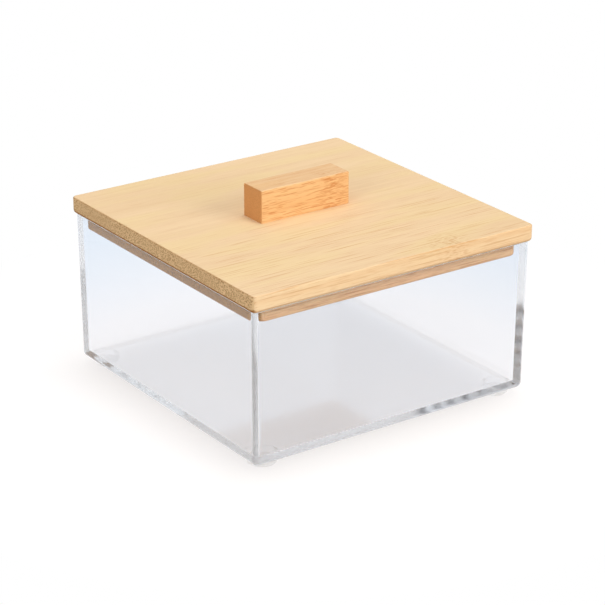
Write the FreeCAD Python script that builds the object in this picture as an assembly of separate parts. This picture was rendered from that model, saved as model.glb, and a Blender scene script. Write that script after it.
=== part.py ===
# A clear square box with a lift-off bamboo lid, for cotton pads on a vanity or a shelf.
#
# Frame: millimetres, +Z up. The origin is in the middle of the box, on the surface that its
# feet stand on. The handle and the grain of the bamboo run along X. -Y is the front.
#
# The box is one clear moulding on four stick-on feet. The lid is two bamboo boards glued face
# to face: the upper one rests on the rim, and the lower one drops inside the rim and keeps the
# lid in place. Two wood screws come up through both boards and hold the handle.
import FreeCAD, Part
import os

# Lid board
lid_side = 100.0
lid_thickness = 5.3
lid_corner_radius = 1.5
lid_top_round = 0.5
lid_bottom_round = 1.2

# Box moulding: its walls lean in a little towards the floor, so that it leaves its mould
box_height = 47.7
rim_set_in = 0.6
wall_lean = 0.4
wall_thickness = 2.9
floor_thickness = 2.5
outer_round = 2.0
inner_round = 0.6
rim_round = 0.9

# Feet
foot_diameter = 9.0
foot_height = 2.0
foot_round = 0.8

# Locating board, under the lid board
locating_thickness = 4.3
locating_clearance = 0.5
locating_corner_radius = 2.5
locating_round = 0.6

# Handle bar, glued on a little behind the middle of the lid
handle_length = 32.0
handle_width = 9.6
handle_height = 10.2
handle_set_back = 1.2
handle_round = 0.5

# Handle screws: countersunk wood screws, driven up from under the lid
screw_diameter = 3.0
screw_length = 18.0
screw_spacing = 16.0
screw_head_diameter = 6.0
screw_head_rim = 0.4
screw_plain_length = 9.0
screw_point_length = 3.0
screw_hole_clearance = 0.1
thread_pitch = 1.25
thread_depth = 0.45
recess_width = 0.7
recess_length = 3.2
recess_depth = 1.5

# Heights and sides that follow from the sizes above
underside_z = foot_height
floor_z = underside_z + floor_thickness
rim_z = underside_z + box_height
locating_z = rim_z - locating_thickness
lid_top_z = rim_z + lid_thickness

rim_side = lid_side - 2 * rim_set_in
underside_side = rim_side - 2 * wall_lean
locating_side = rim_side - 2 * (wall_thickness + locating_clearance)

UP = FreeCAD.Vector(0, 0, 1)

# An edge whose height changes by less than this lies level
LEVEL_WITHIN = 1e-4


def write(shape, name):
    """Writes one piece as parts/NAME.step."""
    shape.exportStep(f"parts/{name}.step")


def is_level(edge, z):
    """Whether an edge lies flat at height z."""
    box = edge.BoundBox
    return abs(box.ZMin - z) < LEVEL_WITHIN and abs(box.ZMax - z) < LEVEL_WITHIN


def level_edges(shape, z):
    """The edges of a shape that lie flat at height z."""
    return [edge for edge in shape.Edges if is_level(edge, z)]


def rising_edges(shape):
    """The edges of a shape that go up."""
    return [edge for edge in shape.Edges if edge.BoundBox.ZLength > LEVEL_WITHIN]


def leaning_block(bottom_side, bottom_z, top_side, top_z, edge_round):
    """A solid square block that widens upwards, with rounded corners and bottom edges."""
    bottom = bottom_side / 2
    top = top_side / 2
    # The wedge is made along Y and then turned up, so its Y limits are the heights.
    lower_end = (-bottom, bottom_z, -bottom, -top, -top)
    upper_end = (bottom, top_z, bottom, top, top)
    wedge = Part.makeWedge(*lower_end, *upper_end)
    wedge = wedge.rotated(FreeCAD.Vector(0, 0, 0), FreeCAD.Vector(1, 0, 0), 90)
    rounded = rising_edges(wedge) + level_edges(wedge, bottom_z)
    return wedge.makeFillet(edge_round, rounded)


def block(length, width, bottom_z, top_z, centre_y=0.0):
    """A plain block about the Z axis, or about centre_y along Y."""
    low_corner = FreeCAD.Vector(-length / 2, centre_y - width / 2, bottom_z)
    return Part.makeBox(length, width, top_z - bottom_z, low_corner)


def board(side, bottom_z, top_z, corner_radius):
    """A square board about the Z axis, with its upright corners rounded."""
    plain = block(side, side, bottom_z, top_z)
    return plain.makeFillet(corner_radius, rising_edges(plain))


def clear_box():
    """The moulding: four walls and a floor, open at the top, with an eased rim."""
    lean_per_mm = (rim_side - underside_side) / box_height
    rim_opening = rim_side - 2 * wall_thickness
    floor_opening = rim_opening - lean_per_mm * (rim_z - floor_z)
    outside = leaning_block(underside_side, underside_z, rim_side, rim_z, outer_round)
    inside = leaning_block(floor_opening, floor_z, rim_opening, rim_z, inner_round)
    moulding = outside.cut(inside)
    return moulding.makeFillet(rim_round, level_edges(moulding, rim_z))


def foot(x, y):
    """A clear stick-on foot, flat underneath, with its lower edge rounded."""
    disc = Part.makeCylinder(foot_diameter / 2, foot_height, FreeCAD.Vector(x, y, 0))
    return disc.makeFillet(foot_round, level_edges(disc, 0))


def screw_places():
    """Where the two handle screws stand, from left to right."""
    return {
        "left": FreeCAD.Vector(-screw_spacing / 2, handle_set_back, locating_z),
        "right": FreeCAD.Vector(screw_spacing / 2, handle_set_back, locating_z),
    }


def turned(profile, place):
    """A solid turned about a vertical axis at place, from points (radius, height above it)."""
    points = [place + FreeCAD.Vector(radius, 0, height) for radius, height in profile]
    outline = Part.Face(Part.makePolygon(points + [points[0]]))
    return outline.revolve(place, UP, 360)


def head_profile(clearance):
    """The countersunk head of a screw, with its flat side at height 0, up to the shank."""
    head_radius = screw_head_diameter / 2 + clearance
    shank_radius = screw_diameter / 2 + clearance
    cone_top = screw_head_rim + head_radius - shank_radius
    return [(0, 0), (head_radius, 0), (head_radius, screw_head_rim), (shank_radius, cone_top)]


def screw_hole(place):
    """What a screw takes out of the two boards: a countersink and a clearance hole."""
    radius = screw_diameter / 2 + screw_hole_clearance
    height = lid_top_z - locating_z
    profile = head_profile(screw_hole_clearance) + [(radius, height), (0, height)]
    return turned(profile, place)


def screw_pilot(place):
    """What a screw takes out of the handle: a hole that its thread and point just fill."""
    radius = screw_diameter / 2
    bottom = lid_top_z - locating_z
    cone = screw_length - screw_point_length
    profile = [(0, bottom), (radius, bottom), (radius, cone), (0, screw_length)]
    return turned(profile, place)


def handle_screw(place):
    """A wood screw: countersunk head with a cross recess, plain shank, thread and point."""
    radius = screw_diameter / 2
    profile = head_profile(0) + [(radius, screw_plain_length)]
    thread_end = screw_length - screw_point_length
    height = screw_plain_length
    while height + thread_pitch <= thread_end:
        profile.append((radius - thread_depth, height + thread_pitch / 2))
        height += thread_pitch
        profile.append((radius, height))
    profile += [(radius - thread_depth, thread_end), (0, screw_length)]
    screw = turned(profile, place)
    for length, width in [(recess_length, recess_width), (recess_width, recess_length)]:
        low_corner = place - FreeCAD.Vector(length / 2, width / 2, 0)
        screw = screw.cut(Part.makeBox(length, width, recess_depth, low_corner))
    return screw


def lid_board():
    """The upper board, which rests on the rim and covers it."""
    plate = board(lid_side, rim_z, lid_top_z, lid_corner_radius)
    plate = plate.makeFillet(lid_bottom_round, level_edges(plate, rim_z))
    plate = plate.makeFillet(lid_top_round, level_edges(plate, lid_top_z))
    for place in screw_places().values():
        plate = plate.cut(screw_hole(place))
    return plate


def locating_board():
    """The lower board, which drops inside the rim."""
    plate = board(locating_side, locating_z, rim_z, locating_corner_radius)
    plate = plate.makeFillet(locating_round, level_edges(plate, locating_z))
    for place in screw_places().values():
        plate = plate.cut(screw_hole(place))
    return plate


def handle_bar():
    """The square bar on top of the lid, with its long way along the grain."""
    top_z = lid_top_z + handle_height
    bar = block(handle_length, handle_width, lid_top_z, top_z, handle_set_back)
    bar = bar.makeFillet(handle_round, rising_edges(bar) + level_edges(bar, top_z))
    for place in screw_places().values():
        bar = bar.cut(screw_pilot(place))
    return bar


def main():
    os.makedirs("parts", exist_ok=True)
    write(clear_box(), "clear_box")
    foot_place = underside_side / 2 - outer_round - foot_diameter / 2
    for side, x in [("left", -foot_place), ("right", foot_place)]:
        for end, y in [("front", -foot_place), ("back", foot_place)]:
            write(foot(x, y), f"foot_{end}_{side}")
    write(lid_board(), "lid_board")
    write(locating_board(), "locating_board")
    write(handle_bar(), "handle_bar")
    for side, place in screw_places().items():
        write(handle_screw(place), f"handle_screw_{side}")


main()
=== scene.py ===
# A clear square box with a lift-off bamboo lid, dressed for looks around its CAD frame.
#
# Sizes of the object and of its patterns are in millimetres, and those of the studio in metres.
# +Z is up, the grain of the bamboo runs along X, and -Y is the front.
import bmesh
import bpy
import math
from mathutils import Matrix, Vector


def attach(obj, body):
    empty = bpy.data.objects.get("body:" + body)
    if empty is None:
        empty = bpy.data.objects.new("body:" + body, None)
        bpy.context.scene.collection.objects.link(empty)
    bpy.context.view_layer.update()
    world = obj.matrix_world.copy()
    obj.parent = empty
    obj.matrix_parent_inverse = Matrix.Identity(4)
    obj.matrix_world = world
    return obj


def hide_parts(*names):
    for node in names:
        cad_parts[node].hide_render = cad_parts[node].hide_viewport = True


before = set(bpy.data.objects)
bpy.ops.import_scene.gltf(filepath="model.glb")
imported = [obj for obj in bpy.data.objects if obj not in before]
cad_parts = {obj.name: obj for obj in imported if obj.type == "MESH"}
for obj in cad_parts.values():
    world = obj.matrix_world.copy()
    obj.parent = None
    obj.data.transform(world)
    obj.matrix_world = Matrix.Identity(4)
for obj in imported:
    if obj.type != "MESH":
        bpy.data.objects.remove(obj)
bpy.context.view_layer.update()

MM_PER_M = 1000.0

# The clear box. Its walls lean in towards the floor.
BOX_HEIGHT = 47.7
RIM_SIDE = 98.8
WALL_LEAN = 0.4
WALL = 2.9
FLOOR_THICKNESS = 2.5
OUTER_ROUND = 2.0
INNER_ROUND = 0.6
RIM_ROUND = 0.9

# The feet. They run a hair into the box, so that no air lies between the two clear pieces.
FOOT_HEIGHT = 2.0
FOOT_DIAMETER = 9.0
FOOT_ROUND = 0.8
FOOT_TOP_ROUND = 0.15
FOOT_FLAT_INSET = 0.6
FOOT_INTO_BOX = 0.05

# Heights and sides that follow from the sizes above
UNDERSIDE_Z = FOOT_HEIGHT
FLOOR_Z = UNDERSIDE_Z + FLOOR_THICKNESS
RIM_Z = UNDERSIDE_Z + BOX_HEIGHT
UNDERSIDE_SIDE = RIM_SIDE - 2 * WALL_LEAN
RIM_OPENING = RIM_SIDE - 2 * WALL
FLOOR_OPENING = RIM_OPENING - 2 * WALL_LEAN * (RIM_Z - FLOOR_Z) / BOX_HEIGHT
FOOT_OUT = UNDERSIDE_SIDE / 2 - OUTER_ROUND - FOOT_DIAMETER / 2

# A corner this near a height or a side is on it, and an edge that climbs more than this goes up
TOUCH = 0.01
CLIMB = 1.0
# Corners closer than this are one corner, and faces that meet at less than this angle are smooth
MERGE = 0.001
SMOOTH_ANGLE = math.radians(50)


# ---------------------------------------------------------------- shaping

def mm(*lengths):
    """Millimetres as Blender's metres."""
    metres = [length / MM_PER_M for length in lengths]
    return metres[0] if len(metres) == 1 else metres


def begin(primitive, name, **settings):
    """Adds a primitive on its own, names it, and opens it for shaping with nothing selected."""
    bpy.ops.object.select_all(action="DESELECT")
    primitive(**settings)
    piece = bpy.context.object
    piece.name = name
    piece.data.name = name
    bpy.ops.object.transform_apply(location=True, rotation=True, scale=True)
    bpy.ops.object.mode_set(mode="EDIT")
    bpy.ops.mesh.select_all(action="DESELECT")
    return piece


def pick(piece, mode, wanted):
    """Selects the edges or faces whose corners, in millimetres, all pass a test."""
    bpy.ops.mesh.select_mode(type=mode)
    bpy.ops.mesh.select_all(action="DESELECT")
    shape = bmesh.from_edit_mesh(piece.data)
    for part in shape.edges if mode == "EDGE" else shape.faces:
        if wanted([corner.co * MM_PER_M for corner in part.verts]):
            part.select = True
    shape.select_flush_mode()
    bmesh.update_edit_mesh(piece.data)


def all_at(corners, z):
    """Whether all the corners are at height z."""
    return all(abs(corner.z - z) < TOUCH for corner in corners)


def rises(corners):
    """Whether an edge goes up."""
    return abs(corners[0].z - corners[1].z) > CLIMB


def round_picked(radius, segments):
    """Rounds the picked edges."""
    bpy.ops.mesh.bevel(offset=mm(radius), segments=segments, affect="EDGES", clamp_overlap=True)


def finish_piece(piece):
    """Closes the piece, points its faces outwards and smooths its rounds but not its flats."""
    bpy.ops.mesh.select_all(action="SELECT")
    bpy.ops.mesh.remove_doubles(threshold=mm(MERGE))
    bpy.ops.mesh.normals_make_consistent(inside=False)
    bpy.ops.object.mode_set(mode="OBJECT")
    bpy.ops.object.shade_smooth_by_angle(angle=SMOOTH_ANGLE)
    flats = piece.modifiers.new("flat_faces_stay_flat", "WEIGHTED_NORMAL")
    flats.keep_sharp = True
    flats.weight = 100
    bpy.ops.object.modifier_apply(modifier=flats.name)


def clear_moulding():
    """Four walls and a floor in one clear moulding, with its corners rounded in and out."""
    piece = begin(bpy.ops.mesh.primitive_cube_add, "clear_moulding", size=mm(RIM_SIDE),
                  location=mm(0, 0, (UNDERSIDE_Z + RIM_Z) / 2),
                  scale=(1, 1, BOX_HEIGHT / RIM_SIDE))
    pick(piece, "FACE", lambda corners: all_at(corners, UNDERSIDE_Z))
    draft = UNDERSIDE_SIDE / RIM_SIDE
    bpy.ops.transform.resize(value=(draft, draft, 1))

    # The top face is drawn in by the wall and pushed down to the floor
    pick(piece, "FACE", lambda corners: all_at(corners, RIM_Z))
    bpy.ops.mesh.inset(thickness=mm(WALL))
    bpy.ops.mesh.extrude_region_move(TRANSFORM_OT_translate={"value": mm(0, 0, FLOOR_Z - RIM_Z)})
    narrowing = FLOOR_OPENING / RIM_OPENING
    bpy.ops.transform.resize(value=(narrowing, narrowing, 1))

    def outer(corners):
        outside = all(abs(c.x) > UNDERSIDE_SIDE / 2 - TOUCH for c in corners)
        return all_at(corners, UNDERSIDE_Z) or (rises(corners) and outside)

    def inner(corners):
        inside = all(abs(c.x) < UNDERSIDE_SIDE / 2 - CLIMB for c in corners)
        return all_at(corners, FLOOR_Z) or (rises(corners) and inside)

    def on_rim_edge(corners):
        if not all_at(corners, RIM_Z):
            return False
        reach = [max(abs(c.x), abs(c.y)) for c in corners]
        sides = (RIM_SIDE / 2, RIM_OPENING / 2)
        straight = any(all(abs(r - side) < TOUCH for r in reach) for side in sides)
        corner_start = RIM_OPENING / 2 - INNER_ROUND - 2 * TOUCH
        in_corner = all(min(abs(c.x), abs(c.y)) > corner_start for c in corners)
        across = abs(reach[0] - reach[1]) > WALL - INNER_ROUND
        return (straight or in_corner) and not across

    pick(piece, "EDGE", outer)
    round_picked(OUTER_ROUND, 8)
    pick(piece, "EDGE", inner)
    round_picked(INNER_ROUND, 6)
    pick(piece, "EDGE", on_rim_edge)
    round_picked(RIM_ROUND, 6)
    finish_piece(piece)
    return piece


def gel_feet():
    """Four clear stick-on feet, made once and copied, each with the CAD node it stands for."""
    height = FOOT_HEIGHT + FOOT_INTO_BOX
    first = begin(bpy.ops.mesh.primitive_cylinder_add, "gel_foot", vertices=64,
                  radius=mm(FOOT_DIAMETER / 2), depth=mm(height), location=mm(0, 0, height / 2))
    pick(first, "EDGE", lambda corners: all_at(corners, 0))
    round_picked(FOOT_ROUND, 6)
    pick(first, "EDGE", lambda corners: all_at(corners, height))
    round_picked(FOOT_TOP_ROUND, 3)
    pick(first, "FACE", lambda corners: all_at(corners, 0) or all_at(corners, height))
    bpy.ops.mesh.inset(thickness=mm(FOOT_FLAT_INSET))
    finish_piece(first)
    feet = []
    for end, y in (("front", -FOOT_OUT), ("back", FOOT_OUT)):
        for side, x in (("left", -FOOT_OUT), ("right", FOOT_OUT)):
            foot = first.copy()
            foot.data = first.data.copy()
            foot.name = f"gel_foot_{end}_{side}"
            foot.data.name = foot.name
            bpy.context.collection.objects.link(foot)
            foot.data.transform(Matrix.Translation(mm(x, y, 0)))
            feet.append((foot, f"foot_{end}_{side}"))
    bpy.data.objects.remove(first)
    return feet


moulding = clear_moulding()
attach(moulding, "box")
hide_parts("clear_box")
feet = gel_feet()
for foot, node_name in feet:
    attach(foot, "box")
    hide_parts(node_name)


# ---------------------------------------------------------------- materials

# Noise drawn out along the fibres of the bamboo: its length, its width and its detail
GRAIN = {
    "tone": (160, 14, 2),      # slow changes of tone
    "patches": (40, 9, 1),     # yellower patches
    "streaks": (50, 1.1, 3),   # streaks of lighter and darker wood
    "fibres": (24, 0.55, 2),   # single fibre lines
    "strokes": (5, 0.32, 1),   # short strokes where bundles come to the surface
    "dashes": (2.6, 0.55, 1),  # bundles that turn at a node
}
# Oval bundles on the end grain. Real ones are 0.3 mm across, which is too fine to show, so they
# are drawn coarser.
BUNDLE = (80, 0.65, 0.42)
HAZE_PATCH = 9
ZINC_CRYSTAL = 0.6


def linear(code):
    """An sRGB hex colour, such as F0D0A0, as linear red, green, blue and alpha."""
    channels = [int(code[at:at + 2], 16) / 255 for at in (0, 2, 4)]
    return [((c + 0.055) / 1.055) ** 2.4 if c > 0.04045 else c / 12.92 for c in channels] + [1.0]


def add(tree, kind, inputs=None, **settings):
    """Adds a shader node with its settings and its links.

    An input takes a value, a socket, or a node, of which it takes the first output.
    """
    made = tree.nodes.new("ShaderNode" + kind)
    for name, value in settings.items():
        setattr(made, name, value)
    for name, value in (inputs or {}).items():
        if isinstance(name, int):
            socket = made.inputs[name]
        else:
            socket = next(s for s in made.inputs if s.enabled and s.name == name)
        if isinstance(value, bpy.types.Node):
            value = next(s for s in value.outputs if s.enabled)
        if isinstance(value, bpy.types.NodeSocket):
            tree.links.new(value, socket)
        else:
            socket.default_value = value
    return made


def new_material(name):
    """An empty node material, with its tree."""
    material = bpy.data.materials.new(name)
    material.use_nodes = True
    material.node_tree.nodes.clear()
    return material, material.node_tree


def piece_material(name):
    """An empty material for a piece, with its tree and the place on the piece in millimetres."""
    material, tree = new_material(name)
    coords = add(tree, "TexCoord")
    place = add(tree, "Mapping", {"Vector": coords.outputs["Object"], "Scale": (MM_PER_M,) * 3})
    return material, tree, place


def bamboo(name, flat, side, streak, yellow, round_darkening_and_shade, end, end_depth, node, dense, fibre_depth,
           stroke_depth):
    """Bamboo: fibre bundles along X, seen as streaks on the long faces and as dots on the ends.

    flat, side and end are each a light and a dark colour, for the level faces, the upright long
    faces and the end grain. node is where a growth ring crosses the strip, with its reach, as
    (x, y, reach along x, reach along y). The bundles get denser between the two places along Y
    that dense gives, because the outer part of a stem has more of them. The colour given for the
    rounds darkens them, and on their undersides that darkening is painted shade.
    """
    material, tree, place = piece_material(name)
    flat_light, flat_dark, side_light, side_dark, end_light, end_dark = [
        linear(code) for code in (*flat, *side, *end)]
    streak, yellow, round_darkening_and_shade = linear(streak), linear(yellow), linear(round_darkening_and_shade)

    grain = {}
    for part, (length, width, detail) in GRAIN.items():
        space = add(tree, "Mapping", {"Vector": place, "Scale": (1 / length, 1 / width, 1 / width)})
        grain[part] = add(tree, "TexNoise", {
            "Vector": space, "Scale": 1.0, "Detail": detail, "Roughness": 0.6})
    spot = add(tree, "SeparateXYZ", {"Vector": place})
    coords = add(tree, "TexCoord")
    facing = add(tree, "SeparateXYZ", {"Vector": coords.outputs["Normal"]})
    up = add(tree, "Math", {0: facing.outputs["Z"]}, operation="ABSOLUTE")
    along = add(tree, "Math", {0: facing.outputs["X"]}, operation="ABSOLUTE")

    # The ground: lighter and darker wood, with yellower patches
    is_flat = add(tree, "MapRange", {"Value": up, "From Min": 0.6, "From Max": 0.9})
    light = add(tree, "Mix", {"Factor": is_flat, "A": side_light, "B": flat_light}, data_type="RGBA")
    dark = add(tree, "Mix", {"Factor": is_flat, "A": side_dark, "B": flat_dark}, data_type="RGBA")
    shade = add(tree, "Math", {0: grain["tone"], 1: grain["streaks"]}, operation="ADD")
    lightness = add(tree, "MapRange", {"Value": shade, "From Min": 0.72, "From Max": 1.28})
    wood = add(tree, "Mix", {"Factor": lightness, "A": dark, "B": light}, data_type="RGBA")
    yellowing = add(tree, "MapRange", {
        "Value": grain["patches"], "From Min": 0.45, "From Max": 0.62, "To Max": 0.45})
    ground = add(tree, "Mix", {"Factor": yellowing, "A": wood, "B": yellow}, data_type="RGBA")

    # Fibre lines, closer together where the stem is dense
    lines = add(tree, "MapRange", {
        "Value": grain["fibres"], "From Min": 0.54, "From Max": 0.68, "To Max": fibre_depth})
    density = add(tree, "MapRange", {
        "Value": spot.outputs["Y"], "From Min": dense[0], "From Max": dense[1], "To Min": 0.4})
    line_cover = add(tree, "Math", {0: lines, 1: density}, operation="MULTIPLY")
    lined = add(tree, "Mix", {"Factor": line_cover, "A": ground, "B": streak}, data_type="RGBA")

    # Strokes: the upright faces cut across more bundles than the level ones do
    strokes = add(tree, "MapRange", {"Value": grain["strokes"], "From Min": 0.53, "From Max": 0.65})
    stroke_share = add(tree, "MapRange", {
        "Value": is_flat, "To Min": stroke_depth, "To Max": 0.35 * stroke_depth})
    stroke_cover = add(tree, "Math", {0: strokes, 1: stroke_share}, operation="MULTIPLY")
    stroked = add(tree, "Mix", {"Factor": stroke_cover, "A": lined, "B": streak}, data_type="RGBA")

    # The node: a patch where the bundles turn, so that they show as close short dashes
    x, y, reach_x, reach_y = node
    around = add(tree, "Mapping", {"Vector": place, "Location": (-x / reach_x, -y / reach_y, 0),
                                   "Scale": (1 / reach_x, 1 / reach_y, 0)})
    distance = add(tree, "VectorMath", {0: around}, operation="LENGTH")
    is_node = add(tree, "MapRange", {
        "Value": distance.outputs["Value"], "From Min": 1.0, "From Max": 0.2})
    dashes = add(tree, "MapRange", {
        "Value": grain["dashes"], "From Min": 0.5, "From Max": 0.62, "To Max": 0.6})
    dash_cover = add(tree, "Math", {0: dashes, 1: is_node}, operation="MULTIPLY")
    long_face = add(tree, "Mix", {"Factor": dash_cover, "A": stroked, "B": streak}, data_type="RGBA")

    # The ends: dark bundles in paler pith, fainter where the tone is light
    bundle_space = add(tree, "Mapping", {
        "Vector": place, "Scale": tuple(1 / size for size in BUNDLE)})
    bundles = add(tree, "TexVoronoi", {"Vector": bundle_space, "Scale": 1.0})
    in_bundle = add(tree, "MapRange", {
        "Value": bundles.outputs["Distance"], "From Min": 0.6, "From Max": 0.2})
    dots = add(tree, "Mix", {"Factor": in_bundle, "A": end_light, "B": end_dark}, data_type="RGBA")
    dot_cover = add(tree, "MapRange", {"Value": grain["tone"], "From Min": 0.35, "From Max": 0.65,
                                       "To Min": 0.5 * end_depth, "To Max": end_depth})
    pith = [pale + 0.35 * (deep - pale) for pale, deep in zip(end_light, end_dark)]
    end_face = add(tree, "Mix", {"Factor": dot_cover, "A": pith, "B": dots}, data_type="RGBA")
    is_end = add(tree, "MapRange", {"Value": along, "From Min": 0.55, "From Max": 0.75})
    sawn = add(tree, "Mix", {"Factor": is_end, "A": long_face, "B": end_face}, data_type="RGBA")

    # Rounds are darker where they cut across the bundles, and darker still underneath, where the
    # darkening is painted shade
    turning = add(tree, "Math", {0: up, 1: 0.6}, operation="SUBTRACT")
    off_round = add(tree, "Math", {0: turning}, operation="ABSOLUTE")
    is_round = add(tree, "MapRange", {"Value": off_round, "From Min": 0.55, "From Max": 0.3})
    end_soak = add(tree, "MapRange", {
        "Value": along, "From Min": 0.2, "From Max": 0.7, "To Min": 0.25})
    # Painted shade: rounds that face down take more of the dark colour
    painted_underside_shade = add(tree, "MapRange", {
        "Value": facing.outputs["Z"], "From Min": 0.05, "From Max": -0.15, "To Min": 0.3})
    round_dark_and_shade_share = add(tree, "Math", {0: end_soak, 1: painted_underside_shade}, operation="MULTIPLY")
    round_dark_and_shade_cover = add(tree, "Math", {0: is_round, 1: round_dark_and_shade_share}, operation="MULTIPLY")
    colour = add(tree, "Mix", {"Factor": round_dark_and_shade_cover, "A": sawn, "B": round_darkening_and_shade}, data_type="RGBA")

    relief = add(tree, "Bump", {"Height": grain["streaks"], "Strength": 0.25, "Distance": 0.0001})
    rough = add(tree, "MapRange", {"Value": grain["streaks"], "From Min": 0.3, "From Max": 0.7,
                                   "To Min": 0.66, "To Max": 0.78})
    surface = add(tree, "BsdfPrincipled", {
        "Base Color": colour, "Roughness": rough, "Normal": relief, "Specular IOR Level": 0.06})
    add(tree, "OutputMaterial", {"Surface": surface})
    return material


def hazy_plastic(tree, place, ior, tint, roughness):
    """Clear plastic with a polishing haze that comes and goes in soft patches."""
    space = add(tree, "Mapping", {"Vector": place, "Scale": (1 / HAZE_PATCH,) * 3})
    haze = add(tree, "TexNoise", {"Vector": space, "Scale": 1.0, "Detail": 2.0})
    rough = add(tree, "MapRange", {"Value": haze, "From Min": 0.3, "From Max": 0.7,
                                   "To Min": roughness[0], "To Max": roughness[1]})
    return add(tree, "BsdfPrincipled", {
        "Base Color": linear(tint), "Roughness": rough, "IOR": ior, "Transmission Weight": 1.0})


def carries_soft_light(tree):
    """1 for the rays that carry shadow and soft light, which pass a clear piece straight on."""
    path = add(tree, "LightPath")
    return add(tree, "Math", {0: path.outputs["Is Shadow Ray"], 1: path.outputs["Is Diffuse Ray"]},
               operation="MAXIMUM")


def finish_plastic(tree, straight, plastic, passing):
    """Gives a clear plastic its body, which is faintly blue in the thick of it."""
    surface = add(tree, "MixShader", {0: straight, 1: plastic, 2: passing})
    body = add(tree, "VolumeAbsorption", {"Color": linear("E7EBF0"), "Density": 1.0})
    add(tree, "OutputMaterial", {"Surface": surface, "Volume": body})


def moulded_acrylic(name):
    """Acrylic: clear and hard, with edges that carry light along. The light that falls through it
    is dimmed more by the level faces than by the walls."""
    material, tree, place = piece_material(name)
    plastic = hazy_plastic(tree, place, 1.49, "FAFBFD", (0.055, 0.075))
    coords = add(tree, "TexCoord")
    facing = add(tree, "SeparateXYZ", {"Vector": coords.outputs["Normal"]})
    level = add(tree, "Math", {0: facing.outputs["Z"]}, operation="ABSOLUTE")
    dimming = add(tree, "Mix", {"Factor": level, "A": linear("F8F8FA"), "B": linear("E4E4E6")},
                  data_type="RGBA")
    passing = add(tree, "BsdfTransparent", {"Color": dimming})
    finish_plastic(tree, carries_soft_light(tree), plastic, passing)
    return material


def clear_gel(name, clinging):
    """Soft gel: clear and a little cloudy. clinging is the share of the view that passes straight
    on, because the gel wets what it touches and its surface hardly shows."""
    material, tree, place = piece_material(name)
    plastic = hazy_plastic(tree, place, 1.42, "FFFFFF", (0.14, 0.20))
    passing = add(tree, "BsdfTransparent", {"Color": linear("FFFFFF")})
    straight = add(tree, "Math", {0: carries_soft_light(tree), 1: clinging}, operation="MAXIMUM")
    finish_plastic(tree, straight, plastic, passing)
    return material


def plated_steel(name):
    """Zinc-plated steel: a pale, slightly blue metal with a fine crystal bloom."""
    material, tree, place = piece_material(name)
    space = add(tree, "Mapping", {"Vector": place, "Scale": (1 / ZINC_CRYSTAL,) * 3})
    bloom = add(tree, "TexNoise", {"Vector": space, "Scale": 1.0, "Detail": 3.0})
    rough = add(tree, "MapRange", {"Value": bloom, "From Min": 0.3, "From Max": 0.7,
                                   "To Min": 0.28, "To Max": 0.45})
    tone = add(tree, "MapRange", {"Value": bloom, "From Min": 0.35, "From Max": 0.65})
    colour = add(tree, "Mix", {"Factor": tone, "A": linear("B9BCC2"), "B": linear("D2D4D8")},
                 data_type="RGBA")
    surface = add(tree, "BsdfPrincipled", {"Base Color": colour, "Roughness": rough, "Metallic": 1.0})
    add(tree, "OutputMaterial", {"Surface": surface})
    return material


acrylic = moulded_acrylic("clear_acrylic_moulded")
gel = clear_gel("clear_polyurethane_gel", clinging=0.8)
# Pale honey, with long faint streaks and strongly dotted ends
lid_bamboo = bamboo(
    "natural_bamboo_sanded", flat=("F5D8B0", "ECCDA3"), side=("F4D6AC", "EDC697"), streak="CC935C",
    yellow="F1D8A2", round_darkening_and_shade="9E6632", end=("E8C494", "986C3A"), end_depth=0.85,
    node=(20.5, -46.5, 9, 8), dense=(0, -22), fibre_depth=0.55, stroke_depth=0.2)
# Warmer and more strongly lined, because it is planed and not sanded
locating_bamboo = bamboo(
    "natural_bamboo_planed", flat=("F0C898", "E6B684"), side=("F8CB98", "EBB27E"), streak="B9703A",
    yellow="F0CD94", round_darkening_and_shade="B9783F", end=("C68E36", "7E4E0C"), end_depth=0.9,
    node=(-18, -30, 7, 8), dense=(60, 50), fibre_depth=0.7, stroke_depth=0.35)
# Orange from steaming, with close reddish strokes on its upright faces
handle_bamboo = bamboo(
    "carbonised_bamboo_sanded", flat=("EFCDA1", "E6BC8D"), side=("F2C892", "E8B57C"),
    streak="C87C3E", yellow="EFC690", round_darkening_and_shade="B9783F", end=("DDA066", "BC8350"), end_depth=0.35,
    node=(10, -3.6, 6, 6), dense=(60, 50), fibre_depth=0.3, stroke_depth=0.6)
screw_steel = plated_steel("zinc_plated_steel")

moulding.data.materials.append(acrylic)
for foot, _ in feet:
    foot.data.materials.append(gel)
for node_name, material in {
    "lid_board": lid_bamboo,
    "locating_board": locating_bamboo,
    "handle_bar": handle_bamboo,
    "handle_screw_left": screw_steel,
    "handle_screw_right": screw_steel,
}.items():
    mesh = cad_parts[node_name].data
    mesh.materials.clear()
    mesh.materials.append(material)


# ---------------------------------------------------------------- studio

FLOOR_SIDE = 6.0
FLOOR_DROP = 0.0001
# How far from the middle of the box its soft shadow starts to fade, and where it has gone
SHADOW_FADE = (0.075, 0.14)
# Toward the dim side of the room, up and to the back left, which polished edges pick up
DIM_SIDE = (-0.75, 0.54, 0.38)
WHITE = linear("FFFFFF")
LAMP_AIM = Vector((0, 0, 0.03))


def seen_and_lit(tree, seen, lit):
    """Parts what the eye, gloss and clear pieces see from what lights the object."""
    path = add(tree, "LightPath")
    gloss = add(tree, "Math", {0: path.outputs["Is Glossy Ray"],
                               1: path.outputs["Is Transmission Ray"]}, operation="MAXIMUM")
    direct = add(tree, "Math", {0: path.outputs["Is Camera Ray"], 1: gloss}, operation="MAXIMUM")
    return add(tree, "MixShader", {0: direct, 1: lit, 2: seen})


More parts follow.
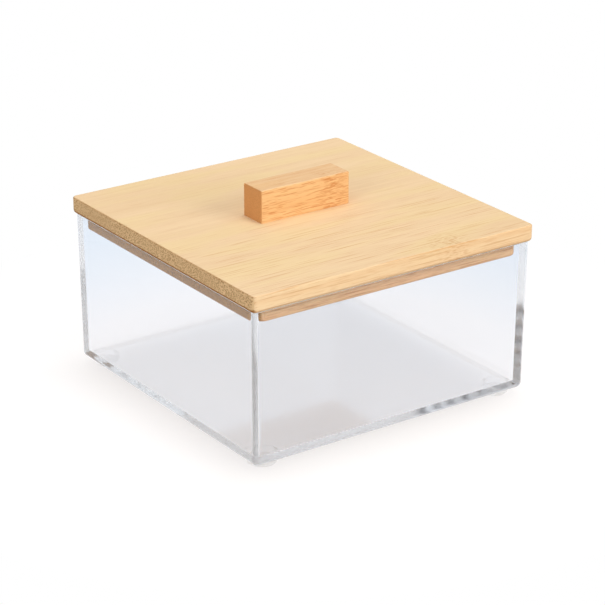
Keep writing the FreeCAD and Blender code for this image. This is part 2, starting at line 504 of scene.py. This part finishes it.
def studio_floor():
    """A white floor that keeps the object's shadow. Near the object it is part matt and part
    glow, and further out it is as white as the backdrop."""
    bpy.ops.object.select_all(action="DESELECT")
    bpy.ops.mesh.primitive_plane_add(size=FLOOR_SIDE, location=(0, 0, -FLOOR_DROP))
    floor = bpy.context.object
    floor.name = "studio_floor"
    material, tree = new_material("studio_floor_white")
    lit = add(tree, "BsdfDiffuse", {"Color": linear("CBCBCB")})
    half_matt = add(tree, "BsdfDiffuse", {"Color": linear("ACADAF")})
    glow = add(tree, "Emission", {"Color": linear("D4D1CF"), "Strength": 1.0})
    shadowed = add(tree, "AddShader", {0: half_matt, 1: glow})
    coords = add(tree, "TexCoord")
    away = add(tree, "VectorMath", {0: coords.outputs["Object"]}, operation="LENGTH")
    faded = add(tree, "MapRange", {"Value": away.outputs["Value"], "From Min": SHADOW_FADE[0],
                                   "From Max": SHADOW_FADE[1]})
    # Through the clear walls it is a little blue, as in a daylight studio
    path = add(tree, "LightPath")
    backdrop = add(tree, "Mix", {"Factor": path.outputs["Is Camera Ray"], "A": linear("EFF7FF"),
                                 "B": WHITE}, data_type="RGBA")
    white = add(tree, "Emission", {"Color": backdrop, "Strength": 1.0})
    seen = add(tree, "MixShader", {0: faded, 1: shadowed, 2: white})
    add(tree, "OutputMaterial", {"Surface": seen_and_lit(tree, seen, lit)})
    floor.data.materials.append(material)
    return floor


def studio_world():
    """A white room with one dim side, which only gloss and clear pieces show."""
    world = bpy.data.worlds.new("studio")
    world.use_nodes = True
    tree = world.node_tree
    tree.nodes.clear()
    coords = add(tree, "TexCoord")
    toward = add(tree, "VectorMath", {0: coords.outputs["Generated"], 1: DIM_SIDE},
                 operation="DOT_PRODUCT")
    dim = add(tree, "MapRange", {"Value": toward.outputs["Value"], "From Min": 0.75,
                                 "From Max": 0.97}, interpolation_type="SMOOTHSTEP")
    height = add(tree, "SeparateXYZ", {"Vector": coords.outputs["Generated"]})
    above = add(tree, "MapRange", {"Value": height.outputs["Z"], "From Min": 0.05, "From Max": 0.3})
    dim_above = add(tree, "Math", {0: dim, 1: above}, operation="MULTIPLY")
    room = add(tree, "Mix", {"Factor": dim_above, "A": linear("F5FAFF"), "B": linear("54565E")},
               data_type="RGBA")
    path = add(tree, "LightPath")
    colour = add(tree, "Mix", {"Factor": path.outputs["Is Camera Ray"], "A": room, "B": WHITE},
                 data_type="RGBA")
    seen = add(tree, "Background", {"Color": colour, "Strength": 1.0})
    lit = add(tree, "Background", {"Color": WHITE, "Strength": 0.5})
    add(tree, "OutputWorld", {"Surface": seen_and_lit(tree, seen, lit)})
    return world


def softbox(name, place, size, power, colour=WHITE):
    """A square lamp that lights the object but doesn't show through its clear pieces."""
    lamp = bpy.data.lights.new(name, "AREA")
    lamp.shape = "SQUARE"
    lamp.size = size
    lamp.energy = power
    lamp.color = colour[:3]
    made = bpy.data.objects.new(name, lamp)
    bpy.context.collection.objects.link(made)
    made.location = place
    made.rotation_euler = (LAMP_AIM - Vector(place)).to_track_quat("-Z", "Y").to_euler()
    made.visible_transmission = False


studio_floor()
bpy.context.scene.world = studio_world()
softbox("softbox_above", (0.3, 0.2, 3.6), size=1.3, power=44.0)
softbox("softbox_front_right", (1.5, -2.9, 1.2), size=2.2, power=65.0, colour=linear("FFFCF6"))
softbox("softbox_left", (-3.1, -1.3, 1.2), size=1.6, power=32.0)


# ---------------------------------------------------------------- camera

CAMERA_PLACE = (-0.3839, -0.5530, 0.30175)
CAMERA_YAW = math.radians(-34.858)
CAMERA_PITCH = math.radians(22.355)
FOCAL_LENGTH = 141.77
SENSOR_WIDTH = 36.0
# Light turns many times inside the walls before it leaves them
BOUNCES = 64

optics = bpy.data.cameras.new("camera")
optics.lens = FOCAL_LENGTH
optics.sensor_width = SENSOR_WIDTH
camera = bpy.data.objects.new("camera", optics)
bpy.context.collection.objects.link(camera)
camera.location = CAMERA_PLACE
back = Vector((
    math.sin(CAMERA_YAW) * math.cos(CAMERA_PITCH),
    -math.cos(CAMERA_YAW) * math.cos(CAMERA_PITCH),
    math.sin(CAMERA_PITCH),
))
camera.rotation_euler = (-back).to_track_quat("-Z", "Y").to_euler()

bpy.context.scene.camera = camera
bpy.context.scene.view_settings.view_transform = "Standard"
bpy.context.scene.cycles.max_bounces = BOUNCES
bpy.context.scene.cycles.glossy_bounces = BOUNCES
bpy.context.scene.cycles.transmission_bounces = BOUNCES
bpy.context.scene.cycles.transparent_max_bounces = BOUNCES
